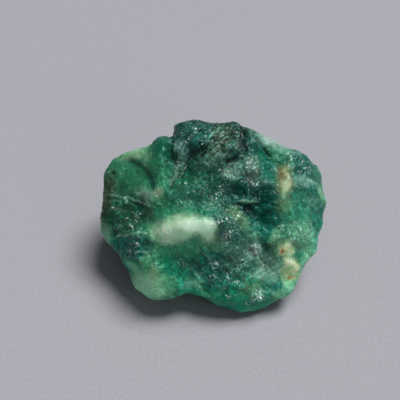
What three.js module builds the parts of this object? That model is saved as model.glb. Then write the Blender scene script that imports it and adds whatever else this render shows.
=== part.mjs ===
// A rough lump of translucent green hauyne, broken on every side and resting on a flat of its underside.
// Millimetres, +Z up. The origin lies on the resting plane, under the middle of the stone's box.
//
// The stone is one solid. Its broad face looks up and forward, and is described on three axes of its own:
// s runs to the right, t up the face and n straight out of it, all from the middle of the broad outline.

import * as THREE from "three";
import { ImprovedNoise } from "three/addons/math/ImprovedNoise.js";
import { mergeVertices } from "three/addons/utils/BufferGeometryUtils.js";

// Driving dimensions

const FACE_TILT = THREE.MathUtils.degToRad(50); // the broad face looks this far above the horizon
const HEART_HEIGHT = 9.6; // the middle of the broad outline above the resting plane
const FRONT_SWELL = 8.6; // crown of the broad face in front of the outline's plane
const BACK_SWELL = 19; // crown of the hidden side behind it, most of which the resting plane takes off
const FULLNESS = 3.0; // 2 would be an ellipsoid, and more is boxier
const ARRIS_ROUNDING = 0.3; // how softly two broken faces meet
const BASE_ROUNDING = 1.4; // how softly the sides turn under to the resting flat
const BASE_TRIM = 0.05; // cut off under the rounding to leave the flat
const CORE_DEPTH = 5; // the surface is spread out from a core this far behind the outline's plane
const FACE_FAVOUR = 0.4; // leans the spread towards the broad face, which gets the finer facets
const GEODESIC_DETAIL = 21; // each of an icosahedron's 20 faces becomes the square of this plus one
const OUTSIDE_REACH = 40; // every point this far from the core is outside the stone
const HALVINGS = 32; // halvings that close in on the surface
const CURVE_STEPS = 12; // points read off the smooth outline for each of its corners

// The surface's own roughness

const LUMP_SIZE = 4.5; // low swells
const LUMP_HEIGHT = 0.35;
const SCALLOPS = [
  { size: 6.5, depth: 1.1, salt: 2 }, // shell-shaped break marks with crisp rims
  { size: 3.1, depth: 0.55, salt: 42 },
];
const SCALLOP_REACH = 0.42; // squared half width of the widest mark, in squared sizes
const SCALLOP_SPREAD = 0.3; // how much smaller the smallest mark is
const SCALLOP_LEVEL = 0.2; // share of their depth that the old face between them stands proud
const OUTLINE_CALM = 0.35; // share of the roughness left at the broad outline
const CALM_WIDTH = 3; // distance over which the outline and the resting plane calm it
const FACE_FADE = [-0.5, 2.5]; // heights over the outline's plane between which the face's forms grow in

// The broad outline, clockwise from the notch left of the crown, as [s, t]

const OUTLINE = [
  [-6.1, 12.5], [-6.0, 14.4], [-4.2, 15.1], [0.5, 14.7], [4.6, 14.3], [6.8, 13.3],
  [9.2, 12.4], [11.9, 10.7], [13.4, 10.6], [15.5, 9.3], [17.1, 6.4], [17.9, 2.6],
  [17.5, -0.4], [16.1, -4.3], [14.2, -8.1], [12.4, -11.2], [9.6, -13.4], [7.7, -14.5],
  [4.5, -14.7], [1.6, -14.0], [-1.1, -12.6], [-5.4, -11.9], [-8.6, -12.1], [-11.7, -11.1],
  [-13.0, -9.4], [-13.6, -7.4], [-14.9, -5.4], [-17.0, -3.9], [-17.7, -1.5], [-17.1, 1.9],
  [-17.6, 3.9], [-17.1, 7.2], [-15.2, 9.5], [-12.7, 10.4], [-9.7, 11.0], [-8.4, 12.1], [-6.9, 12.5],
];

// Broken faces: the outward direction on s, t and n, and the distance from the heart

const BROKEN_FACES = [
  { name: "middle", out: [0.05, 0.2, 0.98], reach: 7.4 },
  { name: "upper left wing", out: [-0.36, 0.22, 0.91], reach: 8.3 },
  { name: "left flank", out: [-0.62, -0.28, 0.73], reach: 11.7 },
  { name: "under the swell", out: [-0.08, -0.3, 0.95], reach: 7.3 },
  { name: "lower right", out: [0.25, -0.32, 0.91], reach: 8.3 },
  { name: "right", out: [0.62, 0.05, 0.78], reach: 11.6 },
  { name: "upper right", out: [0.4, 0.5, 0.77], reach: 10.9 },
  { name: "crown", out: [0.0, 0.55, 0.835], reach: 9.8 },
  { name: "back", out: [0.1, 0.75, -0.65], reach: 11.8 },
  { name: "back left", out: [-0.72, 0.45, -0.53], reach: 15.9 },
  { name: "back right", out: [0.72, 0.36, -0.6], reach: 14.3 },
  { name: "under left", out: [-0.84, -0.36, -0.4], reach: 15.8 },
  { name: "under right", out: [0.82, -0.36, -0.44], reach: 15.0 },
  { name: "under front", out: [-0.15, -0.86, -0.49], reach: 13.4 },
];

// Soft swells and hollows of the broad face: the middle, the half widths, the turn and the rise

const SWELLS = [
  { name: "crown", at: [0.4, 11.0], half: [8.6, 5.0], turn: -6, rise: 1.7 },
  { name: "small upper lobe", at: [-7.6, 9.4], half: [2.6, 4.6], turn: 12, rise: 1.2 },
  { name: "milky swell", at: [-3.6, -1.5], half: [7.0, 3.2], turn: 5, rise: 1.7 },
  { name: "toe", at: [-8.4, -8.8], half: [4.0, 5.4], turn: 8, rise: 1.3 },
  { name: "mound beside the swell", at: [3.0, -1.2], half: [3.4, 3.0], turn: -20, rise: 0.9 },
  { name: "right rib", at: [10.9, -1.2], half: [4.0, 11.0], turn: 10, rise: 0.8 },
  { name: "hollow under the swell", at: [-2.8, -6.6], half: [6.6, 3.8], turn: -6, rise: -1.0 },
  { name: "basin", at: [6.0, 1.6], half: [5.0, 6.4], turn: 12, rise: -1.4 },
  { name: "saddle right of the crown", at: [9.0, 9.2], half: [3.2, 4.2], turn: 35, rise: -1.4 },
  { name: "left dip", at: [-11.0, 0.4], half: [4.0, 3.6], turn: 0, rise: -0.9 },
];

// Round scars with a crisp rim, as [s, t]

const SCARS = [
  { name: "shell-shaped scar", at: [-13.6, 5.2], radius: 5.0, depth: 1.3 },
  { name: "pit at the crown's foot", at: [3.2, 8.3], radius: 1.8, depth: 0.6 },
];

// Creases: a bent line on the broad face, with its half width and depth

const CREASES = [
  { name: "crown's foot", half: 1.8, depth: 0.9, path: [[0.4, 10.6], [-3.2, 9.2], [-4.7, 6.8], [-5.8, 4.8]] },
  { name: "left of the crown", half: 1.6, depth: 0.9, path: [[-5.9, 13.2], [-6.0, 10.0], [-6.2, 6.0]] },
  { name: "crown's right end", half: 1.5, depth: 0.7, path: [[4.9, 13.4], [5.1, 10.0]] },
];

const UP_FACE = new THREE.Vector3(0, Math.sin(FACE_TILT), Math.cos(FACE_TILT));
const OUT_OF_FACE = new THREE.Vector3(0, -Math.cos(FACE_TILT), Math.sin(FACE_TILT));
const CORE = OUT_OF_FACE.clone().multiplyScalar(-CORE_DEPTH);
const noise = new ImprovedNoise();

// A point's place on the broad face's own axes
function faceAxes(point) {
  return { s: point.x, t: point.dot(UP_FACE), n: point.dot(OUT_OF_FACE) };
}

// 1 in the middle of a feature, falling smoothly to 0 at its edge and beyond
function falloff(squaredShare) {
  return squaredShare < 1 ? (1 - squaredShare) ** 2 : 0;
}

// The outline as radius against angle, read off a smooth closed curve
function polarOutline() {
  const corners = OUTLINE.map(([s, t]) => new THREE.Vector3(s, t, 0));
  const samples = new THREE.CatmullRomCurve3(corners, true).getPoints(OUTLINE.length * CURVE_STEPS);
  const polar = samples.map((p) => ({ angle: Math.atan2(p.y, p.x), radius: Math.hypot(p.x, p.y) }));
  return polar.sort((a, b) => a.angle - b.angle);
}

const POLAR_OUTLINE = polarOutline();

function outlineRadius(angle) {
  const after = POLAR_OUTLINE.findIndex((p) => p.angle > angle);
  const b = POLAR_OUTLINE[Math.max(after, 0)];
  const a = POLAR_OUTLINE.at(after - 1);
  const turn = 2 * Math.PI;
  const gap = (b.angle - a.angle + turn) % turn || 1;
  const share = ((angle - a.angle + turn) % turn) / gap;
  return THREE.MathUtils.lerp(a.radius, b.radius, Math.min(share, 1));
}

// How far a point is outside the plump body that fills the outline
function outsideBody({ s, t, n }) {
  const across = Math.hypot(s, t) / outlineRadius(Math.atan2(t, s));
  const along = Math.abs(n) / (n > 0 ? FRONT_SWELL : BACK_SWELL);
  const share = (across ** FULLNESS + along ** FULLNESS) ** (1 / FULLNESS);
  return (share - 1) * Math.hypot(s, t, n) / Math.max(share, 0.01);
}

function outsideFace({ out, reach }, { s, t, n }) {
  return (s * out[0] + t * out[1] + n * out[2]) / Math.hypot(...out) - reach;
}

function swellRise({ at, half, turn, rise }, s, t) {
  const angle = THREE.MathUtils.degToRad(turn);
  const ds = s - at[0];
  const dt = t - at[1];
  const along = (ds * Math.cos(angle) + dt * Math.sin(angle)) / half[0];
  const across = (dt * Math.cos(angle) - ds * Math.sin(angle)) / half[1];
  return rise * falloff(along ** 2 + across ** 2);
}

function scarRise({ at, radius, depth }, s, t) {
  return -depth * Math.max(0, 1 - ((s - at[0]) ** 2 + (t - at[1]) ** 2) / radius ** 2);
}

function distanceToPath(path, s, t) {
  const here = new THREE.Vector3(s, t, 0);
  const nearest = new THREE.Vector3();
  let least = Infinity;
  for (let i = 1; i < path.length; i++) {
    const line = new THREE.Line3(new THREE.Vector3(...path[i - 1], 0), new THREE.Vector3(...path[i], 0));
    line.closestPointToPoint(here, true, nearest);
    least = Math.min(least, nearest.distanceTo(here));
  }
  return least;
}

function creaseRise({ path, half, depth }, s, t) {
  return -depth * falloff((distanceToPath(path, s, t) / half) ** 2);
}

// The rise of every feature of the broad face, which fades out behind the outline's plane
function faceRelief({ s, t, n }) {
  const shown = THREE.MathUtils.smoothstep(n, ...FACE_FADE);
  if (shown === 0) return 0;
  let rise = 0;
  for (const swell of SWELLS) rise += swellRise(swell, s, t);
  for (const scar of SCARS) rise += scarRise(scar, s, t);
  for (const crease of CREASES) rise += creaseRise(crease, s, t);
  return rise * shown;
}

// A repeatable number from 0 to 1 for a cell of space
function cellNumber(i, j, k, salt) {
  const wave = Math.sin(i * 127.1 + j * 311.7 + k * 74.7 + salt * 53.3) * 43758.5453;
  return wave - Math.floor(wave);
}

// Shell-shaped hollows of many widths: lowest at scattered seeds, rising to a rim at the old face
function scallopRise({ size, depth, salt }, point) {
  const cell = point.clone().divideScalar(size);
  const [ci, cj, ck] = [Math.floor(cell.x), Math.floor(cell.y), Math.floor(cell.z)];
  let least = Infinity;
  for (let i = ci - 1; i <= ci + 1; i++) {
    for (let j = cj - 1; j <= cj + 1; j++) {
      for (let k = ck - 1; k <= ck + 1; k++) {
        const dx = cell.x - i - cellNumber(i, j, k, salt);
        const dy = cell.y - j - cellNumber(i, j, k, salt + 10);
        const dz = cell.z - k - cellNumber(i, j, k, salt + 20);
        const smaller = SCALLOP_SPREAD * cellNumber(i, j, k, salt + 30);
        least = Math.min(least, dx * dx + dy * dy + dz * dz + smaller);
      }
    }
  }
  return depth * (SCALLOP_LEVEL - Math.max(0, 1 - least / SCALLOP_REACH));
}

// Lumps and scallops, calmer along the broad outline and gone at the resting plane
function roughness(point, n) {
  const lump = noise.noise(point.x / LUMP_SIZE, point.y / LUMP_SIZE, point.z / LUMP_SIZE);
  const rise = SCALLOPS.reduce((sum, scallop) => sum + scallopRise(scallop, point), lump * LUMP_HEIGHT);
  const awayFromOutline = THREE.MathUtils.smoothstep(Math.abs(n), 0, CALM_WIDTH);
  const aboveBase = THREE.MathUtils.smoothstep(point.z + HEART_HEIGHT, 0, CALM_WIDTH);
  return rise * THREE.MathUtils.lerp(OUTLINE_CALM, 1, awayFromOutline) * aboveBase;
}

// How far a point is outside the stone, below zero inside: the body and the broken faces blended where they
// meet, then the rounding towards the resting plane
function outsideStone(point) {
  const place = faceAxes(point);
  const bounds = [outsideBody(place), ...BROKEN_FACES.map((face) => outsideFace(face, place))];
  const furthest = Math.max(...bounds);
  const blend = bounds.reduce((sum, x) => sum + Math.exp((x - furthest) / ARRIS_ROUNDING), 0);
  const smooth = furthest + ARRIS_ROUNDING * Math.log(blend);
  const rough = smooth - faceRelief(place) - roughness(point, place.n);
  const underFloor = -(point.z + HEART_HEIGHT) - BASE_TRIM;
  const turn = Math.max(BASE_ROUNDING - Math.abs(rough - underFloor), 0);
  return Math.max(rough, underFloor) + turn ** 2 / (4 * BASE_ROUNDING);
}

// The stone's surface point in a direction from its core, stopped by the resting plane
function surfacePoint(direction) {
  let inside = 0;
  let outside = OUTSIDE_REACH;
  for (let step = 0; step < HALVINGS; step++) {
    const middle = (inside + outside) / 2;
    if (outsideStone(CORE.clone().addScaledVector(direction, middle)) < 0) inside = middle;
    else outside = middle;
  }
  const floorDistance = direction.z < 0 ? (HEART_HEIGHT + CORE.z) / -direction.z : Infinity;
  const rests = floorDistance < inside;
  const point = CORE.clone().addScaledVector(direction, Math.min(inside, floorDistance));
  point.z = rests ? 0 : point.z + HEART_HEIGHT;
  return point;
}

function stoneGeometry() {
  const sphere = new THREE.IcosahedronGeometry(1, GEODESIC_DETAIL);
  sphere.deleteAttribute("uv");
  sphere.deleteAttribute("normal");
  const geometry = mergeVertices(sphere, 1e-5);
  const positions = geometry.getAttribute("position");
  const vertex = new THREE.Vector3();
  for (let i = 0; i < positions.count; i++) {
    vertex.fromBufferAttribute(positions, i).addScaledVector(OUT_OF_FACE, FACE_FAVOUR).normalize();
    positions.setXYZ(i, ...surfacePoint(vertex));
  }
  geometry.computeBoundingBox();
  const middle = geometry.boundingBox.getCenter(new THREE.Vector3());
  geometry.translate(-middle.x, -middle.y, 0);
  geometry.computeVertexNormals();
  return geometry;
}

function stoneMaterial() {
  return new THREE.MeshStandardMaterial({ color: 0x2f6f58, roughness: 0.4, metalness: 0 });
}

const stone = new THREE.Mesh(stoneGeometry(), stoneMaterial());
stone.name = "stone";

const part = new THREE.Group();
part.add(stone);

export default part;
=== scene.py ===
"""Looks of a rough green stone: its broken surface, its colours and the light it is shown in."""

import math
from collections import namedtuple

import bmesh
import bpy
import numpy as np
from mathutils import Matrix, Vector, noise


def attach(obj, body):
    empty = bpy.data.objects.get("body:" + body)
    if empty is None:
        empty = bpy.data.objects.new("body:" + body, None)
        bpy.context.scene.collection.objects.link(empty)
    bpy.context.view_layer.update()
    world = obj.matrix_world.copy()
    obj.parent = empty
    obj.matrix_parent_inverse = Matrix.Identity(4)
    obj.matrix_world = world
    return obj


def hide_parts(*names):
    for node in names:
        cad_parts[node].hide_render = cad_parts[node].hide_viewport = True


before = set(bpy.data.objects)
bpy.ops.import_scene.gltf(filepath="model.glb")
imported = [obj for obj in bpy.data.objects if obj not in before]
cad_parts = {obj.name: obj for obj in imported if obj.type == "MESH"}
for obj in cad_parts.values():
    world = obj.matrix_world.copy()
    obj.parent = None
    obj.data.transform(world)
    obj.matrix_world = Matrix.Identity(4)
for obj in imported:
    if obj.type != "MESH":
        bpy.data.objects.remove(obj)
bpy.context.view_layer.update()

# The camera: a 60 mm lens looking down on the stone from its front

MM = 0.001
PHOTO_SIDE = 400
LENS = 60.0
SENSOR = 36.0
CAMERA_RISE = math.radians(50)
CAMERA_DISTANCE = 105 * MM
NEAREST_VIEW = 1 * MM
LOOK_AT = np.array((-1.95, 1.74, 11.46)) * MM
FOCAL_PIXELS = PHOTO_SIDE * LENS / SENSOR
PIXEL = CAMERA_DISTANCE / FOCAL_PIXELS

TO_EYE = np.array((0.0, -math.cos(CAMERA_RISE), math.sin(CAMERA_RISE)))
RIGHT = np.array((1.0, 0.0, 0.0))
UP = np.array((0.0, math.sin(CAMERA_RISE), math.cos(CAMERA_RISE)))
EYE = LOOK_AT + CAMERA_DISTANCE * TO_EYE

# The surface mesh

WELD = 0.001 * MM
EDGE_SPLITS = 3
SMOOTHING_ROUNDS = 6
SMOOTHING_PULLS = (0.5, -0.52)
BASE_CLEARANCE = 0.9 * MM
UNFOLDING_ROUNDS = 10
FOLD_LIMIT = 0.35
TINY = 1e-12

# How far the surface turns to the camera, -1 to 1, where its forms, its colours and its full relief begin

FORMS_TURN = (-0.05, 0.25)
COLOURS_TURN = (-0.3, 0.04)
OUTLINE_TURN = (0.05, 0.5)
OUTLINE_CALM = 0.4

# Noise: the steps from seed to seed, and the waves that scatter numbers

RIPPLE_STEPS = (17.3, 5.1, 9.7)
BREAK_STEPS = (7.9, 23.1, 3.3)
SCATTER_WAVES = (127.1, 311.7, 74.7)
SCATTER_SALT = 53.3
SCATTER_SPREAD = 43758.5453
WIDTH_SALT = 0
SLOPE_SALTS = (1, 2, 3)
Layer = namedtuple("Layer", "size share seed")

# Break marks all over the stone: their size, how deep they bite, how steeply their floors lean

Marks = namedtuple("Marks", "size depth lean seed")
BREAKS = [
    Marks(2.2 * MM, 0.22 * MM, 0.085, 1),
    Marks(0.95 * MM, 0.115 * MM, 0.115, 2),
    Marks(0.45 * MM, 0.06 * MM, 0.16, 3),
]
HIDDEN_BREAKS = [
    Marks(4.4 * MM, 0.45 * MM, 0.16, 5),
    Marks(1.5 * MM, 0.16 * MM, 0.14, 6),
]
BITE_REACH = 0.42
BITE_SPREAD = 0.3
BITE_LEVEL = 0.3
CHIP_CRISPNESS = 22
GRAIN_SIZE = 0.5 * MM
GRAIN_HEIGHT = 0.035 * MM
GRAIN_SEED = 4

# Local forms on the broad face. Places are pixels of the photo, and rises are millimetres

Mound = namedtuple("Mound", "at half turn rise")
MOUNDS = [
    Mound((251, 170), (9, 16), 0, 0.3),
    Mound((264, 183), (7, 6), 0, 0.3),
    Mound((237, 218), (16, 13), 10, 0.35),
    Mound((285, 181), (6, 16), 0, 0.45),
    Mound((287, 250), (8, 8), 0, 0.3),
    Mound((290, 270), (9, 10), 0, 0.3),
    Mound((155, 270), (5, 12), 10, 0.25),
    Mound((303, 183), (12, 7), 20, 0.25),
    Mound((113.5, 174), (1.7, 3.0), 10, -0.35),
    Mound((231, 162), (5, 3), -20, -0.2),
    Mound((247, 192), (9, 6), 10, -0.2),
    Mound((248, 210.5), (10, 5), 22, -0.55),
    Mound((283, 250), (3, 4.5), 0, -0.12),
    Mound((290, 277), (2.5, 2.5), 0, -0.12),
]

Groove = namedtuple("Groove", "path half rise")
GROOVES = [
    # The crease left of the crown, its two arms and the rib beside it
    Groove([(214, 147), (202, 151), (194, 155), (187, 164), (179, 176)], 9.0, 0.25),
    Groove([(206, 149), (197, 153), (190, 157), (184, 167), (179, 175), (168, 188)], 2.0, -0.2),
    Groove([(203, 139), (197, 145), (192, 154)], 1.6, -0.25),
    Groove([(173, 138), (172, 150), (168, 166)], 2.4, -0.1),
    Groove([(177, 141), (177, 156), (179, 167), (174, 180)], 3.4, 0.32),
    # Slanting ridges and furrows of the crown
    Groove([(204, 146), (211, 137), (218, 129)], 1.5, 0.25),
    Groove([(201, 156), (210, 147), (220, 135)], 1.5, -0.2),
    Groove([(207, 158), (219, 146), (227, 138)], 1.6, 0.25),
    Groove([(215, 160), (226, 150), (231, 143)], 1.6, -0.2),
    # Cracks of the crown's right end
    Groove([(242, 128), (244, 140), (245, 152)], 2.4, -0.6),
    Groove([(234, 129), (235, 138)], 2.0, -0.3),
    Groove([(226, 161), (231, 162), (236, 157)], 2.0, -0.35),
    Groove([(254, 133), (262, 145), (267, 154), (272, 162)], 2.0, -0.4),
    # The right side
    Groove([(291, 172), (292, 181), (291, 190)], 1.7, -0.2),
    # Streaks of the left flank
    Groove([(108, 196), (128, 198), (148, 207)], 1.5, 0.16),
    Groove([(117, 236), (132, 234), (146, 234)], 1.4, 0.14),
    Groove([(135, 253), (148, 252)], 1.3, 0.12),
]

# Steps: a cliff along a path, high on its left as the path is followed, sloping away from the edge
Step = namedtuple("Step", "path height reach half")
STEPS = [
    Step([(157, 192), (152, 181), (147, 172), (140, 164), (126, 157)], -0.3, 18, 5.0),
    Step([(236, 203), (247, 202.5), (258, 203)], 0.5, 8, 1.8),
    Step([(322, 199), (317, 191), (311, 181), (303, 175.5), (293, 177)], 0.35, 12, 1.8),
    Step([(160, 200), (185, 214), (205, 211), (218, 222)], 0.12, 10, 3.0),
]

# Where mounds and grooves end, in shares of their half widths, and how fast steps fall away
MOUND_FOOT = 1.3
GROOVE_FOOT = 1.5
STEP_FALL = 1.5

# Zones of slanting fibres: where, how steep in degrees, how wide in pixels and how high in millimetres
Fibres = namedtuple("Fibres", "at half slant width height")
FIBRES = [
    Fibres((213, 145), (32, 22), 45, 2.0, 0.15),
    Fibres((180, 163), (9, 24), 65, 2.4, 0.14),
    Fibres((124, 206), (24, 22), -15, 2.0, 0.07),
    Fibres((308, 212), (18, 44), -60, 2.6, 0.09),
    Fibres((206, 264), (28, 20), -45, 2.4, 0.12),
    Fibres((264, 264), (24, 22), 30, 2.4, 0.12),
    Fibres((262, 205), (16, 22), -20, 2.6, 0.12),
]
FIBRE_STRETCH = 5
FIBRE_SEED = 31
# Fibres are painted lighter on their rises and darker in their hollows: painted light and shade
BOLD_FIBRES = 0.2
STREAK_CONTRAST = 0.7

# Fine slanting lines of colour on the crown, without a rise of their own
FINE_LINES = Fibres((211, 143), (34, 22), 42, 1.8, 0)
FINE_STRETCH = 7
FINE_DETAIL = 2.0
FINE_RANGE = (0.4, 0.6)
FINE_CONTRAST = 0.6

# Where zones fade out and where they are full, in shares of their half widths
PATCH_FADE = (1.2, 0.5)
FIBRE_FADE = (1.2, 0.6)
TINT_FADE = (1.4, 0.35)
LINE_FADE = (1.3, 0.3)
MILK_FADE = (1.3, 0.4)

# How coarse the break marks are, zone by zone
Patch = namedtuple("Patch", "at half turn value")
CALM = [
    Patch((190, 228), (34, 17), 5, 0.75),
    Patch((134, 172), (27, 20), 20, 0.85),
    Patch((160, 156), (13, 20), 10, 0.65),
    Patch((154, 230), (14, 14), 0, 0.5),
    Patch((150, 282), (20, 17), 0, 0.85),
    Patch((234, 304), (42, 8), 0, 0.9),
    Patch((248, 210), (12, 7), 20, 0.8),
    Patch((275, 142), (20, 12), 30, 0.6),
    Patch((176, 262), (22, 18), 0, 0.35),
    Patch((185, 195), (30, 16), 0, 0.35),
]
COARSE = [
    Patch((251, 170), (11, 18), 0, 0.2),
    Patch((236, 222), (22, 18), 0, 0.2),
    Patch((254, 252), (12, 10), 0, 0.6),
    Patch((130, 225), (28, 30), 0, 0.1),
    Patch((257, 295), (9, 8), 0, 0.8),
    Patch((185, 150), (14, 18), 0, 0.5),
    Patch((300, 164), (16, 12), 30, 0.5),
]

# Colours as red, green and blue of the photo, 0 to 255, and the curve that turns them into light

FULL_COLOUR = 255
DARK_END = 0.04045
DARK_SLOPE = 12.92
CURVE_SHIFT = 0.055
CURVE_POWER = 2.4
TINTS = {
    "green": (18, 112, 82),
    "emerald": (6, 104, 74),
    "teal": (6, 84, 74),
    "deep": (1, 50, 46),
    "bottle": (20, 82, 57),
    "brown": (52, 62, 44),
    "moss": (26, 72, 57),
    "olive": (50, 76, 48),
    "slate": (17, 56, 46),
    "leaf": (60, 145, 105),
    "pale": (116, 172, 132),
    "milk": (198, 231, 203),
    "haze": (184, 212, 176),
    "cream": (180, 192, 152),
    "straw": (178, 202, 152),
    "tan": (158, 150, 98),
    "peach": (178, 150, 106),
    "rust": (136, 98, 52),
    "grey": (76, 118, 104),
    "flint": (98, 116, 108),
    "sea": (20, 104, 88),
    "mist": (100, 150, 138),
    "shade": (4, 34, 28),
    # Frost, also used as a painted glint colour
    "frost_and_glint": (200, 236, 222),
    "ice": (158, 176, 168),
    "sage": (98, 136, 94),
    "ash": (120, 162, 142),
    "blush": (176, 196, 168),
}

Tint = namedtuple("Tint", "name at half turn strength")
PATCHES = [
    # The broad areas
    Tint("moss", (216, 140), (48, 28), 0, 0.8),
    Tint("slate", (218, 144), (34, 19), 0, 0.8),
    Tint("olive", (217, 143), (11, 25), 38, 0.8),
    Tint("teal", (192, 136), (24, 20), 0, 0.8),
    Tint("deep", (187, 136), (13, 12), 0, 0.25),
    Tint("leaf", (138, 172), (40, 30), 20, 0.95),
    Tint("emerald", (164, 153), (13, 18), 10, 0.7),
    Tint("deep", (168, 154), (6, 15), 8, 0.4),
    Tint("bottle", (124, 216), (32, 36), 0, 0.85),
    Tint("deep", (130, 210), (26, 20), 10, 0.25),
    Tint("green", (185, 195), (34, 20), 0, 0.8),
    Tint("grey", (188, 194), (26, 14), 0, 0.25),
    Tint("teal", (245, 200), (36, 42), 0, 0.9),
    Tint("sea", (304, 212), (30, 58), 0, 0.9),
    Tint("teal", (300, 163), (16, 12), 35, 0.8),
    Tint("emerald", (182, 263), (38, 26), 0, 0.9),
    Tint("teal", (215, 268), (26, 22), 0, 0.6),
    Tint("moss", (252, 260), (34, 26), 0, 0.8),
    Tint("emerald", (238, 301), (48, 13), 0, 0.8),
    Tint("pale", (150, 286), (22, 13), 5, 0.9),
    Tint("teal", (130, 246), (20, 14), 20, 0.8),
    Tint("deep", (128, 248), (16, 12), 20, 0.3),
    # The left edge and wing
    Tint("brown", (106, 194), (9, 28), 12, 0.8),
    Tint("pale", (103, 232), (8, 13), -20, 0.6),
    Tint("pale", (134, 154), (14, 6), -22, 0.9),
    Tint("haze", (132, 155), (12, 5), -22, 0.4),
    Tint("pale", (147, 160), (6, 9), 20, 0.6),
    Tint("pale", (150, 197), (16, 9), 10, 0.5),
    Tint("ash", (146, 194), (10, 6), 30, 0.9),
    Tint("leaf", (135, 177), (16, 11), 25, 0.3),
    Tint("leaf", (157, 173), (7, 15), -20, 0.7),
    Tint("blush", (158, 192), (5, 5), -30, 0.8),
    Tint("shade", (113.5, 174), (1.6, 2.8), 10, 0.9),
    Tint("leaf", (160, 206), (10, 10), 0, 0.6),
    # The crown and the pale edge behind it
    Tint("deep", (237, 129), (10, 7), 10, 0.5),
    Tint("deep", (238, 146), (9, 18), 0, 0.4),
    Tint("slate", (236, 148), (9, 13), 0, 0.6),
    Tint("shade", (243, 141), (5, 13), -8, 0.6),
    Tint("grey", (233, 142), (6, 7), 0, 0.25),
    Tint("shade", (231, 161), (7, 4), -20, 0.7),
    Tint("teal", (257, 143), (8, 13), -30, 0.7),
    Tint("ash", (274, 142), (22, 8), 32, 0.9),
    Tint("ice", (272, 138), (15, 5.5), 34, 0.95),
    Tint("leaf", (280, 154), (13, 7), 25, 0.5),
    Tint("mist", (180, 157), (6, 19), 8, 0.9),
    Tint("mist", (182, 154), (8, 7), -30, 0.7),
    Tint("ash", (179, 165), (4.5, 13), 10, 0.75),
    Tint("ash", (174, 179), (4, 7), 35, 0.6),
    Tint("grey", (208, 161), (22, 9), -15, 0.4),
    # The basin and the lumps beside it
    Tint("flint", (251, 171), (8, 16), 0, 0.6),
    Tint("grey", (264, 183), (7, 5), 0, 0.7),
    Tint("ash", (230, 172), (11, 8), 0, 0.7),
    Tint("sea", (266, 167), (8, 9), 0, 0.7),
    Tint("moss", (232, 222), (18, 19), 10, 0.6),
    Tint("moss", (218, 193), (17, 12), 0, 0.5),
    Tint("grey", (232, 219), (16, 14), 10, 0.3),
    Tint("sage", (235, 212), (9, 7), 20, 0.7),
    Tint("sage", (243, 223), (8, 7), 30, 0.4),
    Tint("deep", (250, 193), (11, 7), 10, 0.4),
    # Painted shadow in the wedge under the small ledge, and painted light on the ledge's top edge
    Tint("deep", (247, 210), (14, 8), 20, 1.0),
    Tint("shade", (247, 209), (10, 4.5), 15, 0.5),
    Tint("ash", (248, 202), (9.5, 2.2), 3, 0.75),
    Tint("teal", (266, 225), (12, 18), 0, 0.3),
    Tint("sea", (268, 214), (11, 24), 0, 0.6),
    # The milky swell
    Tint("leaf", (174, 212), (18, 10), 0, 0.6),
    Tint("leaf", (161, 229), (19, 17), 0, 0.65),
    Tint("leaf", (182, 247), (28, 10), 0, 0.55),
    Tint("haze", (173, 231), (21, 13), -10, 0.85),
    Tint("haze", (190, 224), (20, 10), 5, 0.8),
    Tint("haze", (207, 231), (10, 12), -20, 0.8),
    Tint("milk", (176, 232), (14, 9), -5, 0.33),
    Tint("milk", (196, 226), (17, 7), 8, 0.75),
    Tint("milk", (207, 229), (8, 8), 30, 0.8),
    Tint("green", (196, 241), (9, 4), 5, 0.4),
    # The right side
    Tint("tan", (285, 182), (9, 17), 0, 0.5),
    Tint("peach", (283, 173), (7, 7), 10, 0.35),
    Tint("cream", (286, 185), (6.5, 10), 5, 0.6),
    Tint("sage", (284, 204), (8, 11), 0, 0.7),
    Tint("leaf", (299, 212), (17, 25), 0, 0.42),
    Tint("mist", (303, 182), (12, 7), 20, 0.7),
    Tint("ash", (305, 182), (10, 6), 20, 0.5),
    Tint("ash", (312, 202), (6, 8), -20, 0.3),
    Tint("pale", (321, 194), (4, 11), -20, 0.9),
    Tint("pale", (301, 236), (16, 16), 0, 0.45),
    Tint("pale", (276, 236), (8, 6), -40, 0.6),
    Tint("straw", (287, 249), (9, 9), 0, 0.7),
    Tint("straw", (290, 269), (10, 12), 0, 0.95),
    Tint("rust", (282.5, 250), (3, 4.5), 15, 0.75),
    Tint("rust", (290, 277.5), (3.5, 2.5), -30, 0.75),
    Tint("pale", (308, 255), (5, 14), 25, 0.5),
    Tint("pale", (284, 293), (14, 7), -30, 0.4),
    # The lower face
    Tint("pale", (149, 289), (14, 8), 5, 0.8),
    Tint("pale", (142, 276), (9, 10), 20, 0.4),
    Tint("bottle", (156, 268), (9, 11), 0, 0.7),
    Tint("cream", (153, 276), (6, 13), 8, 0.2),
    Tint("teal", (186, 272), (20, 12), 0, 0.3),
    Tint("deep", (186, 270), (19, 12), 0, 0.2),
    Tint("deep", (226, 278), (17, 13), 15, 0.45),
    Tint("leaf", (170, 284), (8, 8), 0, 0.4),
    Tint("grey", (240, 253), (15, 15), 0, 0.6),
    Tint("emerald", (234, 302), (30, 7), 0, 0.5),
    Tint("teal", (236, 304), (30, 6), 0, 0.35),
    Tint("grey", (192, 284), (12, 4), -20, 0.6),
    # Painted glints: the pale patches at (254, 251) stand for a cluster of bright glints
    Tint("ash", (254, 251), (8, 9), 0, 0.9),
    Tint("frost_and_glint", (255, 250), (6, 6), 0, 0.2),
    Tint("ash", (269, 268), (15, 15), 0, 0.55),
    Tint("ash", (258, 295), (6, 5), 0, 0.5),
]

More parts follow.
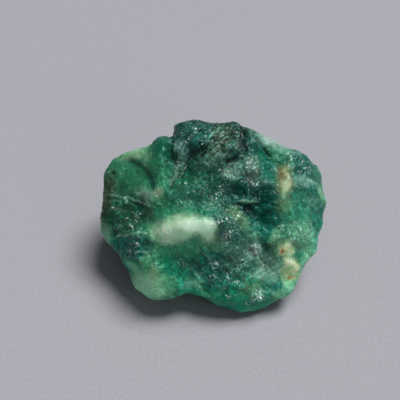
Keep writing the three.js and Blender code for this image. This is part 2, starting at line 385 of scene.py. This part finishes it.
Line = namedtuple("Line", "name path half strength")
LINES = [
    Line("shade", [(206, 149), (198, 153), (192, 158), (186, 167), (181, 175), (170, 188)], 1.4, 0.6),
    Line(
        "shade",
        [(172, 138), (178, 128), (186, 122), (205, 122), (225, 125), (237, 123), (246, 130)],
        2.6,
        0.55,
    ),
    # Painted shadow: a broad and a narrow dark band inside the wing's rim, where the rim shades the dish
    Line("emerald", [(129, 160), (139, 163), (146, 170), (150, 179), (153, 187)], 5.0, 0.2),
    Line("deep", [(130, 161), (140, 165), (147, 172), (151, 179), (153, 186)], 2.6, 0.6),
    Line("shade", [(254, 133), (262, 145), (267, 154)], 1.8, 0.5),
    Line("shade", [(291, 173), (292, 181), (291, 188)], 1.6, 0.3),
    # Painted highlights along the crown's ridges, and painted shade along the furrow between them
    Line("ash", [(205, 146), (211, 137), (218, 129)], 1.2, 0.4),
    Line("ash", [(207, 158), (219, 146), (227, 138)], 1.3, 0.35),
    Line("shade", [(201, 156), (210, 147), (220, 135)], 1.4, 0.35),
    Line("shade", [(243, 129), (245, 140), (245, 150)], 2.0, 0.7),
    Line("ash", [(110, 195), (128, 198), (150, 207)], 1.4, 0.45),
    Line("ash", [(118, 236), (132, 234), (146, 234)], 1.3, 0.55),
    Line("ash", [(135, 253), (148, 252)], 1.2, 0.5),
    Line("ash", [(112, 207), (124, 211)], 1.3, 0.4),
    Line("ash", [(196, 248), (204, 254), (213, 265)], 1.1, 0.5),
    Line("ash", [(258, 258), (266, 268), (275, 280)], 1.1, 0.5),
    Line("ash", [(250, 277), (262, 268)], 1.1, 0.5),
]

# Painted light: the lower face is painted brighter towards the bottom, a painted glow for light that has
# come through the stone
GLOW_ROWS = (190, 285)
PAINTED_GLOW = 1.25
BRIGHTEST = 0.95

# Painted light and shade: high spots are painted a little lighter and low spots a little darker
RELIEF_SPAN = 0.25 * MM
RELIEF_SHADE = 0.15

# Clouds, stains and veins of colour that run all through the stone
CLOUD_FIELDS = {
    "drift": [Layer(5 * MM, 1.0, 11)],
    "cloud": [Layer(3 * MM, 1.0, 12), Layer(1.1 * MM, 0.4, 13)],
    "stain": [Layer(4 * MM, 1.0, 14), Layer(1.4 * MM, 0.4, 15)],
    "vein": [Layer(6 * MM, 1.0, 16), Layer(1.6 * MM, 0.25, 17)],
}
Cloud = namedtuple("Cloud", "name field strength fade")
CLOUDS = [
    Cloud("emerald", "drift", 0.8, (0.0, 0.4)),
    Cloud("teal", "drift", 0.8, (-0.05, -0.4)),
    Cloud("bottle", "stain", 0.8, (0.1, 0.4)),
    Cloud("slate", "stain", 0.6, (0.3, 0.6)),
    Cloud("pale", "cloud", 0.6, (0.15, 0.55)),
    Cloud("sage", "stain", 0.6, (-0.25, -0.6)),
    Cloud("ash", "vein", 0.35, (0.05, 0.015)),
]

# Shattered spots, where bright splinters beside dark gaps are painted: frost and glints on top, shade in
# the gaps
SHATTER = [
    # The crown and the lumps below it
    Patch((196, 130), (3, 4), 10, 0.5),
    Patch((222, 135), (5, 3), -40, 0.3),
    Patch((237, 146), (6, 6), 0, 0.15),
    Patch((180, 144), (6, 4), 0, 0.2),
    Patch((249, 161), (4, 5), 0, 0.4),
    Patch((257, 184), (6, 3), 0, 0.45),
    Patch((221, 191), (5, 4), 0, 0.2),
    Patch((219, 220), (4, 4), 0, 0.5),
    Patch((226, 238), (5, 6), 20, 0.8),
    Patch((282, 228), (5, 3), -30, 0.7),
    # The left flank
    Patch((137, 217), (3, 4), 30, 0.6),
    Patch((132, 227), (4, 3), -30, 0.6),
    Patch((136, 245), (7, 4), 20, 0.45),
    Patch((130, 253), (6, 5), -40, 0.45),
    # The lower face
    Patch((254, 251), (7, 8), 0, 1.0),
    Patch((258, 294), (7, 5), 40, 0.75),
    Patch((251, 302), (7, 3), -20, 0.7),
    Patch((228, 296), (4, 3), 20, 0.6),
    Patch((237, 283), (3, 3), -20, 0.8),
    Patch((173, 279), (4, 3), 30, 0.5),
    Patch((182, 263), (8, 4), 20, 0.4),
    Patch((216, 266), (6, 5), 40, 0.5),
    Patch((229, 275), (4, 5), 0, 0.5),
    Patch((263, 265), (4, 4), 40, 0.5),
]
SHARD_SIZE = 0.3 * MM
SHARD_HEIGHT = 0.3 * MM
SHARD_SEED = 41
# Frost and painted glints on the splinter tops, painted shade in the gaps
SHARD_FROST_AND_GLINT = 0.85
SHARD_TOPS = (0.0, 0.24)
SHARD_SHADE = 0.4
SHARD_GAPS = (-0.06, -0.28)

# How far shapes on the broad face are pushed about to make their edges uneven, in pixels
WARPS = [Layer(1.7 * MM, 2.2, 21), Layer(0.55 * MM, 1.2, 23)]

# Where small bright flakes are thick on the surface
GLITTER = [
    Patch((215, 140), (46, 26), 0, 0.12),
    Patch((251, 170), (10, 17), 0, 0.65),
    Patch((182, 160), (9, 24), 10, 0.8),
    Patch((132, 228), (20, 22), 0, 0.34),
    Patch((230, 220), (20, 17), 10, 0.7),
    Patch((226, 237), (9, 7), 0, 0.9),
    Patch((254, 251), (9, 9), 0, 1.0),
    Patch((257, 296), (9, 8), 0, 0.8),
    Patch((180, 265), (32, 20), 0, 0.4),
    Patch((225, 270), (30, 18), 0, 0.6),
    Patch((185, 195), (26, 16), 0, 0.3),
    Patch((300, 232), (18, 14), 0, 0.5),
    Patch((230, 172), (13, 10), 0, 0.7),
    Patch((300, 162), (16, 12), 30, 0.6),
    Patch((170, 225), (12, 12), 0, 0.4),
    Patch((215, 190), (20, 16), 0, 0.6),
]
HIDDEN_GLITTER = 0.24
GLITTER_DROP = 0.14
RIDGE_GLITTER = 0.3
RIDGE_RISE = (0.05 * MM, 0.2 * MM)
CALM_GLITTER = 0.5
LEAST_GLITTER = 0.05

# Milky places, which are more even and smoother than the rest
MILKY = [
    Patch((186, 230), (36, 16), 5, 1.0),
    Patch((274, 142), (20, 8), 32, 0.7),
]
MILK_EVENS = 0.6
MILK_SMOOTHS = 0.8

# The stone's material: soft mottling, clusters of flakes, and a shade for each crystal grain

WHOLE = (0.0, 1.0)
WHITE = (1, 1, 1, 1)
MID_COLOUR = (0.5, 0.5, 0.5)
NOISE_RANGE = (0.3, 0.7)
MOTTLE_SIZE = 1.0 * MM
MOTTLE_DETAIL = 3.0
MOTTLE_ROUGHNESS = 0.6
MOTTLE = (0.87, 1.13)
CLUSTER_SIZE = 1.3 * MM
CLUSTER_DETAIL = 2.0
CLUSTER_RANGE = (0.36, 0.64)
CLUSTERS = (0.25, 1.0)
UNEVEN_RANGE = (0.0, 0.8)
UNEVENNESS = (0.2, 0.95)
Cells = namedtuple("Cells", "size share")
GRAINS = [Cells(0.13 * MM, 1.0), Cells(0.3 * MM, 0.6)]

# Frosted specks, partly painted glints: small and large, their radius in shares of a cell, their soft edge
# and their light
SPECKS = [Cells(0.22 * MM, 0.95), Cells(0.42 * MM, 0.08)]
SPECK_RADIUS = (0.18, 0.38)
SPECK_EDGE = (-0.06, 0.06)
SPECK_LEAST = 0.05
SPECK_POWER = 1.6
SPECK_LIGHT = (0.3, 1.0)
FROST_AND_GLINT_RANGE = (0.0, 0.6)
FROST_AND_GLINT_STRENGTH = (0.45, 1.0)
FROST_AND_GLINT_COVER = 0.65
FROST_AND_GLINT_COLOUR = (198, 242, 224)

# Crystal faces and flakes: how large they are and how far they lean
FACETS = [Cells(0.6 * MM, 0.28), Cells(0.24 * MM, 0.2)]
FLAKES = [Cells(0.18 * MM, 1.1)]
FLAKE_GLOSS = (0.04, 0.7)
ROUGHNESS_SIZE = 1.6 * MM
ROUGHNESS_DETAIL = 3.0
ROUGHNESS = (0.26, 0.48)
CLEARNESS = (0.85, 0.95)
STONE_SHADER = {
    "Coat Roughness": 0.1,
    "Coat IOR": 2.0,
    "Specular IOR Level": 0.3,
    "Specular Tint": (0.5, 1.0, 0.9, 1),
    "Subsurface Radius": (0.35, 1.0, 0.8),
    "Subsurface Scale": 3.0 * MM,
    "IOR": 1.5,
}

# The stage: a pale floor, a soft sun, a fill light from the front right and a dim sky

FLOOR_SIDE = 6.0
FLOOR_COLOUR = (0.42, 0.415, 0.455, 1)
FLOOR_GRAIN = 0.6 * MM
FLOOR_DETAIL = 2.0
FLOOR_SHADES = (0.96, 1.04)
FLOOR_SHADER = {"Roughness": 0.9, "Specular IOR Level": 0.2}
KEY_PLACE = Vector((0.10, 0.08, 0.28))
KEY_SPREAD = math.radians(29)
KEY_STRENGTH = 3.0
FILL_PLACE = Vector((0.17, -0.20, 0.17))
FILL_SIDE = 0.15
FILL_POWER = 0.05
SKY = (0.62, 0.62, 0.66, 1)
SKY_STRENGTH = 0.17


def linear(colour):
    """A colour of the photo as the light it stands for."""
    share = np.array(colour, float) / FULL_COLOUR
    dark = share / DARK_SLOPE
    bright = ((share + CURVE_SHIFT) / (1 + CURVE_SHIFT)) ** CURVE_POWER
    return np.where(share <= DARK_END, dark, bright)


def smooth_step(low, high, value):
    share = np.clip((value - low) / (high - low), 0, 1)
    return share * share * (3 - 2 * share)


# Noise over the stone


def ripple(points, size, seed):
    """Smooth noise, about -1 to 1, with lumps of the given size."""
    shift = Vector([seed * step for step in RIPPLE_STEPS])
    return np.array([noise.noise(Vector(point) / size + shift) for point in points])


def scatter_number(seeds, salt):
    """A repeatable number from 0 to 1 for each seed of space."""
    wave = np.sin(seeds @ np.array(SCATTER_WAVES) + salt * SCATTER_SALT) * SCATTER_SPREAD
    return wave - np.floor(wave)


def break_marks(points, marks):
    """Shell-shaped bites of many widths, whose floors lean this way and that, in metres."""
    shift = Vector([marks.seed * step for step in BREAK_STEPS])
    found = [noise.voronoi(Vector(point) / marks.size + shift) for point in points]
    squared = np.array([distances for distances, _ in found]) ** 2
    seeds = np.array([[tuple(seed) for seed in near] for _, near in found])
    places = points / marks.size + np.array(shift)
    smaller = squared + BITE_SPREAD * scatter_number(seeds, WIDTH_SALT)
    bite = BITE_LEVEL - np.maximum(0, 1 - smaller.min(axis=1) / BITE_REACH)
    slope = np.stack([scatter_number(seeds, salt) * 2 - 1 for salt in SLOPE_SALTS], axis=2)
    tilt = ((places[:, None, :] - seeds) * slope).sum(axis=2)
    weight = np.exp(-CHIP_CRISPNESS * (smaller - smaller.min(axis=1, keepdims=True)))
    chip = (tilt * weight).sum(axis=1) / weight.sum(axis=1)
    return marks.depth * bite + marks.lean * marks.size * chip


# Places in the photo


def photo_places(points):
    """The pixel column and row of each point, as the camera sees it."""
    offset = points - EYE
    depth = -(offset @ TO_EYE)
    column = PHOTO_SIDE / 2 + FOCAL_PIXELS * (offset @ RIGHT) / depth
    row = PHOTO_SIDE / 2 - FOCAL_PIXELS * (offset @ UP) / depth
    return np.stack((column, row), axis=1)


def share_of_oval(places, at, half, turn):
    """0 in the middle of an oval, 1 on its edge, and more outside."""
    angle = math.radians(turn)
    dx = places[:, 0] - at[0]
    dy = places[:, 1] - at[1]
    along = (dx * math.cos(angle) + dy * math.sin(angle)) / half[0]
    across = (dy * math.cos(angle) - dx * math.sin(angle)) / half[1]
    return np.hypot(along, across)


def path_distance(places, path):
    """The distance of each place from a bent line, and which side of it the place is on, -1 or 1."""
    least = np.full(len(places), np.inf)
    side = np.ones(len(places))
    for start, end in zip(np.array(path[:-1], float), np.array(path[1:], float)):
        run = end - start
        share = np.clip(((places - start) @ run) / (run @ run), 0, 1)
        away = places - start - share[:, None] * run
        distance = np.hypot(away[:, 0], away[:, 1])
        nearer = distance < least
        least[nearer] = distance[nearer]
        side[nearer] = np.sign(run[1] * away[nearer, 0] - run[0] * away[nearer, 1])
    return least, side


def patch_sum(places, patches, fade=PATCH_FADE):
    """The largest value of the patches at each place."""
    total = np.zeros(len(places))
    for patch in patches:
        share = share_of_oval(places, patch.at, patch.half, patch.turn)
        total = np.maximum(total, patch.value * smooth_step(*fade, share))
    return total


def fibre_zone(places, fibres):
    return smooth_step(*FIBRE_FADE, share_of_oval(places, fibres.at, fibres.half, 0))


def uneven(points, places):
    """The places pushed about a little, so that what is drawn there has natural edges."""
    pushed = places.copy()
    for warp in WARPS:
        pushed[:, 0] += warp.share * ripple(points, warp.size, warp.seed)
        pushed[:, 1] += warp.share * ripple(points, warp.size, warp.seed + 1)
    return pushed


# The mesh of the stone


def fine_mesh(node):
    """A finer copy of a solid's mesh."""
    copy = bmesh.new()
    copy.from_mesh(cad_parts[node].data)
    bmesh.ops.remove_doubles(copy, verts=copy.verts, dist=WELD)
    bmesh.ops.subdivide_edges(copy, edges=copy.edges, cuts=EDGE_SPLITS, use_grid_fill=True)
    bmesh.ops.triangulate(copy, faces=copy.faces)
    mesh = bpy.data.meshes.new("rough_stone")
    copy.to_mesh(mesh)
    copy.free()
    return mesh


def mesh_arrays(mesh):
    """A mesh's points, and the numbers of the points on its edges and triangles."""
    points = np.empty(len(mesh.vertices) * 3)
    mesh.vertices.foreach_get("co", points)
    edges = np.empty(len(mesh.edges) * 2, int)
    mesh.edges.foreach_get("vertices", edges)
    triangles = np.empty(len(mesh.polygons) * 3, int)
    mesh.polygons.foreach_get("vertices", triangles)
    return points.reshape(-1, 3), edges.reshape(-1, 2), triangles.reshape(-1, 3)


def neighbour_mean(values, edges):
    """The mean of each point's neighbours along the edges."""
    ends = np.concatenate((edges, edges[:, ::-1]))
    here = ends[:, 0]
    there = ends[:, 1]
    count = np.bincount(here, minlength=len(values))
    sums = [np.bincount(here, weights=column[there], minlength=len(values)) for column in values.T]
    return np.stack(sums, axis=1) / count[:, None]


def smoothed(points, edges):
    """Softens the solid's facets without shrinking it, and keeps the resting flat."""
    result = points.copy()
    resting = points[:, 2] < WELD
    for _ in range(SMOOTHING_ROUNDS):
        for pull in SMOOTHING_PULLS:
            result += pull * (neighbour_mean(result, edges) - result)
            result[resting] = points[resting]
    return result


def unit_rows(vectors):
    return vectors / np.maximum(np.linalg.norm(vectors, axis=1), TINY)[:, None]


def face_directions(points, triangles):
    corners = points[triangles]
    return np.cross(corners[:, 1] - corners[:, 0], corners[:, 2] - corners[:, 0])


def surface_normals(points, triangles):
    facing = face_directions(points, triangles)
    normals = np.zeros_like(points)
    for corner in range(3):
        for axis in range(3):
            normals[:, axis] += np.bincount(triangles[:, corner], facing[:, axis], len(points))
    return unit_rows(normals)


def unfolded(points, edges, triangles):
    """Eases the few spots above the resting flat where the surface folds over itself."""
    result = points.copy()
    for _ in range(UNFOLDING_ROUNDS):
        normals = surface_normals(result, triangles)
        faces = unit_rows(face_directions(result, triangles))
        agreement = (faces[:, None, :] * normals[triangles]).sum(axis=2).min(axis=1)
        folded = np.unique(triangles[agreement < FOLD_LIMIT])
        folded = folded[result[folded, 2] > BASE_CLEARANCE]
        result[folded] = neighbour_mean(result, edges)[folded]
    return result


# The relief


def hump(distance):
    """1 in the middle of a rise, falling softly to 0 at a distance of 1."""
    return np.clip(1 - distance**2, 0, 1) ** 2


def local_forms(places):
    """The rise of the mounds, grooves and steps of the broad face, in metres."""
    rise = np.zeros(len(places))
    for mound in MOUNDS:
        share = share_of_oval(places, mound.at, mound.half, mound.turn)
        rise += mound.rise * MM * hump(share / MOUND_FOOT)
    for groove in GROOVES:
        distance, _ = path_distance(places, groove.path)
        rise += groove.rise * MM * hump(distance / groove.half / GROOVE_FOOT)
    for step in STEPS:
        distance, side = path_distance(places, step.path)
        cliff = smooth_step(-step.half, step.half, distance * side)
        rise += step.height * MM * cliff * np.clip(1 - distance / step.reach, 0, 1) ** STEP_FALL
    return rise


def fibre_streaks(places):
    """The fibres, as noise drawn out along their slant: their rise in metres, and the painted light and
    shade that follow that rise.
    """
    rise = np.zeros(len(places))
    light = np.zeros(len(places))
    for fibres in FIBRES:
        slant = math.radians(fibres.slant)
        along = places[:, 0] * math.cos(slant) - places[:, 1] * math.sin(slant)
        across = places[:, 0] * math.sin(slant) + places[:, 1] * math.cos(slant)
        drawn_out = np.column_stack((along / FIBRE_STRETCH, across, np.zeros(len(places))))
        streak = fibre_zone(places, fibres) * ripple(drawn_out, fibres.width, FIBRE_SEED)
        rise += fibres.height * MM * streak
        light += streak * fibres.height / BOLD_FIBRES
    return rise, light


def fine_relief(points, places, facing, shown):
    """The break marks and the grain, in metres: bolder on the hidden side, calmer along the outline."""
    rise = GRAIN_HEIGHT * ripple(points, GRAIN_SIZE, GRAIN_SEED)
    for marks in BREAKS:
        rise += break_marks(points, marks)
    for marks in HIDDEN_BREAKS:
        rise += (1 - shown) * break_marks(points, marks)
    coarse = 1 + shown * (patch_sum(places, COARSE) - patch_sum(places, CALM))
    inside = smooth_step(*OUTLINE_TURN, np.abs(facing))
    return rise * coarse * (OUTLINE_CALM + (1 - OUTLINE_CALM) * inside)


# The colours


def blend(colour, name, share):
    return colour + (linear(TINTS[name]) - colour) * np.clip(share, 0, 1)[:, None]


def cloudy_tints(points):
    """Drifting clouds, stains and veins of colour, as they run all through the stone."""
    fields = {
        name: sum(layer.share * ripple(points, layer.size, layer.seed) for layer in layers)
        for name, layers in CLOUD_FIELDS.items()
    }
    fields["vein"] = np.abs(fields["vein"])
    colour = np.tile(linear(TINTS["green"]), (len(points), 1))
    for cloud in CLOUDS:
        colour = blend(colour, cloud.name, cloud.strength * smooth_step(*cloud.fade, fields[cloud.field]))
    return colour


def stone_tints(points, places, shown, rise, streak_shading, shards):
    """The colour of each vertex: patches and lines on the broad face, clouds on the hidden side."""
    colour = cloudy_tints(points)
    drawn = uneven(points, places)
    for patch in PATCHES:
        share = share_of_oval(drawn, patch.at, patch.half, patch.turn)
        colour = blend(colour, patch.name, patch.strength * shown * smooth_step(*TINT_FADE, share))
    for line in LINES:
        distance, _ = path_distance(drawn, line.path)
        share = line.strength * shown * smooth_step(*LINE_FADE, distance / line.half)
        colour = blend(colour, line.name, share)
    # Painted light and shade: high spots lighter, low spots darker
    relief = 1 + RELIEF_SHADE * np.clip(rise / RELIEF_SPAN, -1, 1)
    # Painted light and shade along the fibres
    streak_shaded = 1 + STREAK_CONTRAST * shown * streak_shading
    # Painted glow: the lower face is painted brighter towards the bottom
    painted_glow = 1 + PAINTED_GLOW * shown * smooth_step(*GLOW_ROWS, places[:, 1])
    colour *= (relief * streak_shaded * painted_glow)[:, None]
    colour *= np.minimum(1, BRIGHTEST / colour.max(axis=1))[:, None]
    # Frost and painted glints on the splinter tops, painted shade in the gaps between them
    colour = blend(colour, "frost_and_glint", SHARD_FROST_AND_GLINT * smooth_step(*SHARD_TOPS, shards))
    return blend(colour, "shade", SHARD_SHADE * smooth_step(*SHARD_GAPS, shards))


def glitter(places, shown, rise):
    """How thick the bright flakes lie: in their zones, and on the ridges between break marks."""
    zones = HIDDEN_GLITTER + shown * (patch_sum(places, GLITTER) - GLITTER_DROP)
    ridges = RIDGE_GLITTER * smooth_step(*RIDGE_RISE, rise)
    calm = CALM_GLITTER * shown * patch_sum(places, CALM)
    return np.clip(zones + ridges - calm, LEAST_GLITTER, 1)


def store(mesh, name, kind, field, values):
    attribute = mesh.attributes.new(name, kind, "POINT")
    attribute.data.foreach_set(field, np.asarray(values, np.float32).ravel())


def make_stone():
    mesh = fine_mesh("stone")
    points, edges, triangles = mesh_arrays(mesh)
    points = smoothed(points, edges)
    normals = surface_normals(points, triangles)
    places = photo_places(points)
    facing = normals @ TO_EYE
    shown = smooth_step(*FORMS_TURN, facing)
    shards = shown * patch_sum(places, SHATTER) * ripple(points, SHARD_SIZE, SHARD_SEED)
    fibre_rise, fibre_shading = fibre_streaks(places)
    fine_rise = fine_relief(points, places, facing, shown)
    fine_rise += shown * fibre_rise + SHARD_HEIGHT * shards
    forms = local_forms(uneven(points, places))
    rise = (fine_rise + shown * forms) * smooth_step(0, BASE_CLEARANCE, points[:, 2])
    points = points + normals * rise[:, None]
    points[:, 2] = np.maximum(points[:, 2], 0)
    points = unfolded(points, edges, triangles)
    mesh.vertices.foreach_set("co", points.ravel())
    mesh.shade_smooth()

    painted = smooth_step(*COLOURS_TURN, facing)
    tint = stone_tints(points, places, painted, fine_rise, fibre_shading, shards)
    store(mesh, "tint", "FLOAT_COLOR", "color", np.column_stack((tint, np.ones(len(tint)))))
    store(mesh, "glitter", "FLOAT", "value", glitter(places, painted, fine_rise))
    store(mesh, "milk", "FLOAT", "value", painted * patch_sum(places, MILKY, MILK_FADE))
    store(mesh, "lines", "FLOAT", "value", painted * fibre_zone(places, FINE_LINES))
    mesh.materials.clear()
    mesh.materials.append(stone_material())

    stone = bpy.data.objects.new("rough_stone", mesh)
    bpy.context.scene.collection.objects.link(stone)
    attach(stone, "root")
    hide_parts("stone")


# Materials


class Nodes:
    """A short way to add and join the nodes of one material."""

    def __init__(self, name):
        self.material = bpy.data.materials.new(name)
        self.material.use_nodes = True
        self.tree = self.material.node_tree
        self.shader = self.tree.nodes["Principled BSDF"]

    def add(self, kind, settings=None, **inputs):
        """A new node. Its inputs are given by name, or by number as i0, i1 and so on."""
        node = self.tree.nodes.new(kind)
        for key, value in (settings or {}).items():
            setattr(node, key, value)
        for key, value in inputs.items():
            socket = int(key[1:]) if key[1:].isdigit() else key
            self.set(node.inputs[socket], value)
        return node

    def set(self, socket, value):
        if isinstance(value, bpy.types.NodeSocket):
            self.tree.links.new(value, socket)
        else:
            socket.default_value = value

    def place(self):
        return self.add("ShaderNodeTexCoord").outputs["Object"]

    def attribute(self, name, output="Fac"):
        return self.add("ShaderNodeAttribute", {"attribute_name": name}).outputs[output]

    def noise(self, place, size, detail, roughness=0.5):
        inputs = {"Vector": place, "Scale": 1 / size, "Detail": detail, "Roughness": roughness}
        return self.add("ShaderNodeTexNoise", None, **inputs).outputs["Fac"]

    def cells(self, place, size):
        return self.add("ShaderNodeTexVoronoi", None, Vector=place, Scale=1 / size)

    def channels(self, colour):
        return self.add("ShaderNodeSeparateColor", None, i0=colour).outputs

    def math(self, operation, a, b):
        return self.add("ShaderNodeMath", {"operation": operation}, i0=a, i1=b).outputs[0]

    def times(self, a, b):
        return self.math("MULTIPLY", a, b)

    def less(self, value):
        """What is left of 1."""
        return self.math("SUBTRACT", 1.0, value)

    def spread(self, value, source, target=WHOLE):
        """A value carried from one range to another."""
        low, high = source
        to_low, to_high = target
        node = self.add("ShaderNodeMapRange", None, i0=value, i1=low, i2=high, i3=to_low, i4=to_high)
        return node.outputs[0]

    def vector_math(self, operation, a, b=(0.0, 0.0, 0.0)):
        return self.add("ShaderNodeVectorMath", {"operation": operation}, i0=a, i1=b)

    def mix(self, share, a, b, blend_type="MIX"):
        settings = {"data_type": "RGBA", "blend_type": blend_type}
        return self.add("ShaderNodeMix", settings, i0=share, i6=a, i7=b).outputs[2]

    def shaded(self, colour, shade):
        return self.mix(1.0, colour, shade, "MULTIPLY")


def flake_thickness(nodes, place):
    """How thick the flakes lie, gathered in clusters."""
    gathered = nodes.spread(nodes.noise(place, CLUSTER_SIZE, CLUSTER_DETAIL), CLUSTER_RANGE, CLUSTERS)
    return nodes.times(nodes.attribute("glitter"), gathered)


def speck_mask(nodes, place, thick, specks):
    """Small scattered specks of unlike brightness, of which more show where they lie thick."""
    cells = nodes.cells(place, specks.size)
    chance, width, light = nodes.channels(cells.outputs["Color"])
    radius = nodes.spread(width, WHOLE, SPECK_RADIUS)
    inside = nodes.spread(nodes.math("SUBTRACT", radius, cells.outputs["Distance"]), SPECK_EDGE)
    limit = nodes.spread(thick, WHOLE, (SPECK_LEAST * specks.share, specks.share))
    chosen = nodes.math("LESS_THAN", chance, limit)
    bright = nodes.spread(nodes.math("POWER", light, SPECK_POWER), WHOLE, SPECK_LIGHT)
    return nodes.times(nodes.times(inside, chosen), bright)


def frost_and_glint_share(nodes, place, thick):
    small, large = [speck_mask(nodes, place, thick, specks) for specks in SPECKS]
    strength = nodes.spread(thick, FROST_AND_GLINT_RANGE, FROST_AND_GLINT_STRENGTH)
    return nodes.times(nodes.math("MAXIMUM", small, large), strength)


def slanting_lines(nodes, place):
    """Fine light and dark lines that run aslant over the crown, as a shade about 1."""
    slant = math.radians(FINE_LINES.slant)
    along = math.cos(slant) * RIGHT + math.sin(slant) * UP
    across = math.cos(slant) * UP - math.sin(slant) * RIGHT
    width = FINE_LINES.width * PIXEL
    length = FINE_STRETCH * width
    axes = (along / length, across / width, TO_EYE / length)
    parts = [nodes.vector_math("DOT_PRODUCT", place, tuple(axis)).outputs["Value"] for axis in axes]
    drawn_out = nodes.add("ShaderNodeCombineXYZ", None, i0=parts[0], i1=parts[1], i2=parts[2]).outputs[0]
    streak = nodes.noise(drawn_out, 1.0, FINE_DETAIL)
    swing = nodes.spread(streak, FINE_RANGE, (-FINE_CONTRAST, FINE_CONTRAST))
    return nodes.math("ADD", 1.0, nodes.times(nodes.attribute("lines"), swing))


def grain_shade(nodes, place, size, unevenness):
    """A shade for each small crystal, about 1, further from it where the stone is more uneven."""
    pick = nodes.channels(nodes.cells(place, size).outputs["Color"])[2]
    return nodes.math("ADD", 1.0, nodes.times(nodes.spread(pick, WHOLE, (-1.0, 1.0)), unevenness))


def stone_colour(nodes, place, milk, thick, frost_and_glint):
    """The tint of each place, mottled, lined, grained, and frosted with specks that are partly painted
    glints.
    """
    mottle = nodes.noise(place, MOTTLE_SIZE, MOTTLE_DETAIL, MOTTLE_ROUGHNESS)
    mottle = nodes.mix(milk, nodes.spread(mottle, NOISE_RANGE, MOTTLE), WHITE)
    colour = nodes.shaded(nodes.attribute("tint", "Color"), mottle)
    colour = nodes.shaded(colour, slanting_lines(nodes, place))
    unevenness = nodes.spread(thick, UNEVEN_RANGE, UNEVENNESS)
    unevenness = nodes.times(unevenness, nodes.less(nodes.times(milk, MILK_EVENS)))
    for grain in GRAINS:
        swing = nodes.times(unevenness, grain.share)
        colour = nodes.shaded(colour, grain_shade(nodes, place, grain.size, swing))
    # Frost specks and painted glints are mixed into the colour
    return nodes.mix(nodes.times(frost_and_glint, FROST_AND_GLINT_COVER), colour, (*linear(FROST_AND_GLINT_COLOUR), 1))


def leaning_normal(nodes, place, faces, lean):
    """The surface's direction, leaning another way on each small crystal face."""
    direction = nodes.add("ShaderNodeNewGeometry").outputs["Normal"]
    for face in faces:
        cells = nodes.cells(place, face.size).outputs["Color"]
        way = nodes.vector_math("SUBTRACT", cells, MID_COLOUR).outputs[0]
        reach = nodes.times(lean, face.share)
        push = nodes.add("ShaderNodeVectorMath", {"operation": "SCALE"}, i0=way, Scale=reach).outputs[0]
        leaning = nodes.vector_math("ADD", direction, push).outputs[0]
        direction = nodes.vector_math("NORMALIZE", leaning).outputs[0]
    return direction


def stone_material():
    nodes = Nodes("green_stone")
    place = nodes.place()
    milk = nodes.attribute("milk")
    thick = flake_thickness(nodes, place)
    frost_and_glint = frost_and_glint_share(nodes, place, thick)
    lean = nodes.less(nodes.times(milk, MILK_SMOOTHS))
    roughness = nodes.noise(place, ROUGHNESS_SIZE, ROUGHNESS_DETAIL)
    clearness = nodes.spread(milk, WHOLE, CLEARNESS)
    shader = nodes.shader.inputs
    nodes.set(shader["Base Color"], stone_colour(nodes, place, milk, thick, frost_and_glint))
    nodes.set(shader["Roughness"], nodes.spread(roughness, NOISE_RANGE, ROUGHNESS))
    nodes.set(shader["Normal"], leaning_normal(nodes, place, FACETS, lean))
    nodes.set(shader["Coat Weight"], nodes.spread(thick, WHOLE, FLAKE_GLOSS))
    nodes.set(shader["Coat Normal"], leaning_normal(nodes, place, FLAKES, lean))
    nodes.set(shader["Subsurface Weight"], nodes.times(clearness, nodes.less(frost_and_glint)))
    for name, value in STONE_SHADER.items():
        shader[name].default_value = value
    return nodes.material


def floor_material():
    nodes = Nodes("pale_floor")
    grain = nodes.noise(nodes.place(), FLOOR_GRAIN, FLOOR_DETAIL)
    shade = nodes.spread(grain, NOISE_RANGE, FLOOR_SHADES)
    shader = nodes.shader.inputs
    nodes.set(shader["Base Color"], nodes.shaded(FLOOR_COLOUR, shade))
    for name, value in FLOOR_SHADER.items():
        shader[name].default_value = value
    return nodes.material


# The stage


def make_floor():
    half = FLOOR_SIDE / 2
    corners = [(-half, -half, 0), (half, -half, 0), (half, half, 0), (-half, half, 0)]
    mesh = bpy.data.meshes.new("floor")
    mesh.from_pydata(corners, [], [(0, 1, 2, 3)])
    mesh.materials.append(floor_material())
    floor = bpy.data.objects.new("floor", mesh)
    bpy.context.scene.collection.objects.link(floor)


def make_light(name, kind, place, width, power):
    """A light that points at the stone. Its width is an angle for a sun, and a side in metres otherwise."""
    light = bpy.data.lights.new(name, kind)
    if kind == "SUN":
        light.angle = width
    else:
        light.size = width
    light.energy = power
    lamp = bpy.data.objects.new(name, light)
    lamp.location = place
    lamp.rotation_euler = (Vector(LOOK_AT) - place).to_track_quat("-Z", "Y").to_euler()
    bpy.context.scene.collection.objects.link(lamp)


def make_sky():
    world = bpy.data.worlds.new("sky")
    world.use_nodes = True
    background = world.node_tree.nodes["Background"]
    background.inputs["Color"].default_value = SKY
    background.inputs["Strength"].default_value = SKY_STRENGTH
    bpy.context.scene.world = world


def make_camera():
    lens = bpy.data.cameras.new("camera")
    lens.lens = LENS
    lens.sensor_width = SENSOR
    lens.clip_start = NEAREST_VIEW
    camera = bpy.data.objects.new("camera", lens)
    camera.location = Vector(EYE)
    camera.rotation_euler = (math.pi / 2 - CAMERA_RISE, 0, 0)
    bpy.context.scene.collection.objects.link(camera)
    bpy.context.scene.camera = camera


make_camera()
make_stone()
make_floor()
make_light("key", "SUN", KEY_PLACE, KEY_SPREAD, KEY_STRENGTH)
make_light("fill", "AREA", FILL_PLACE, FILL_SIDE, FILL_POWER)
make_sky()
bpy.context.scene.view_settings.view_transform = "Standard"
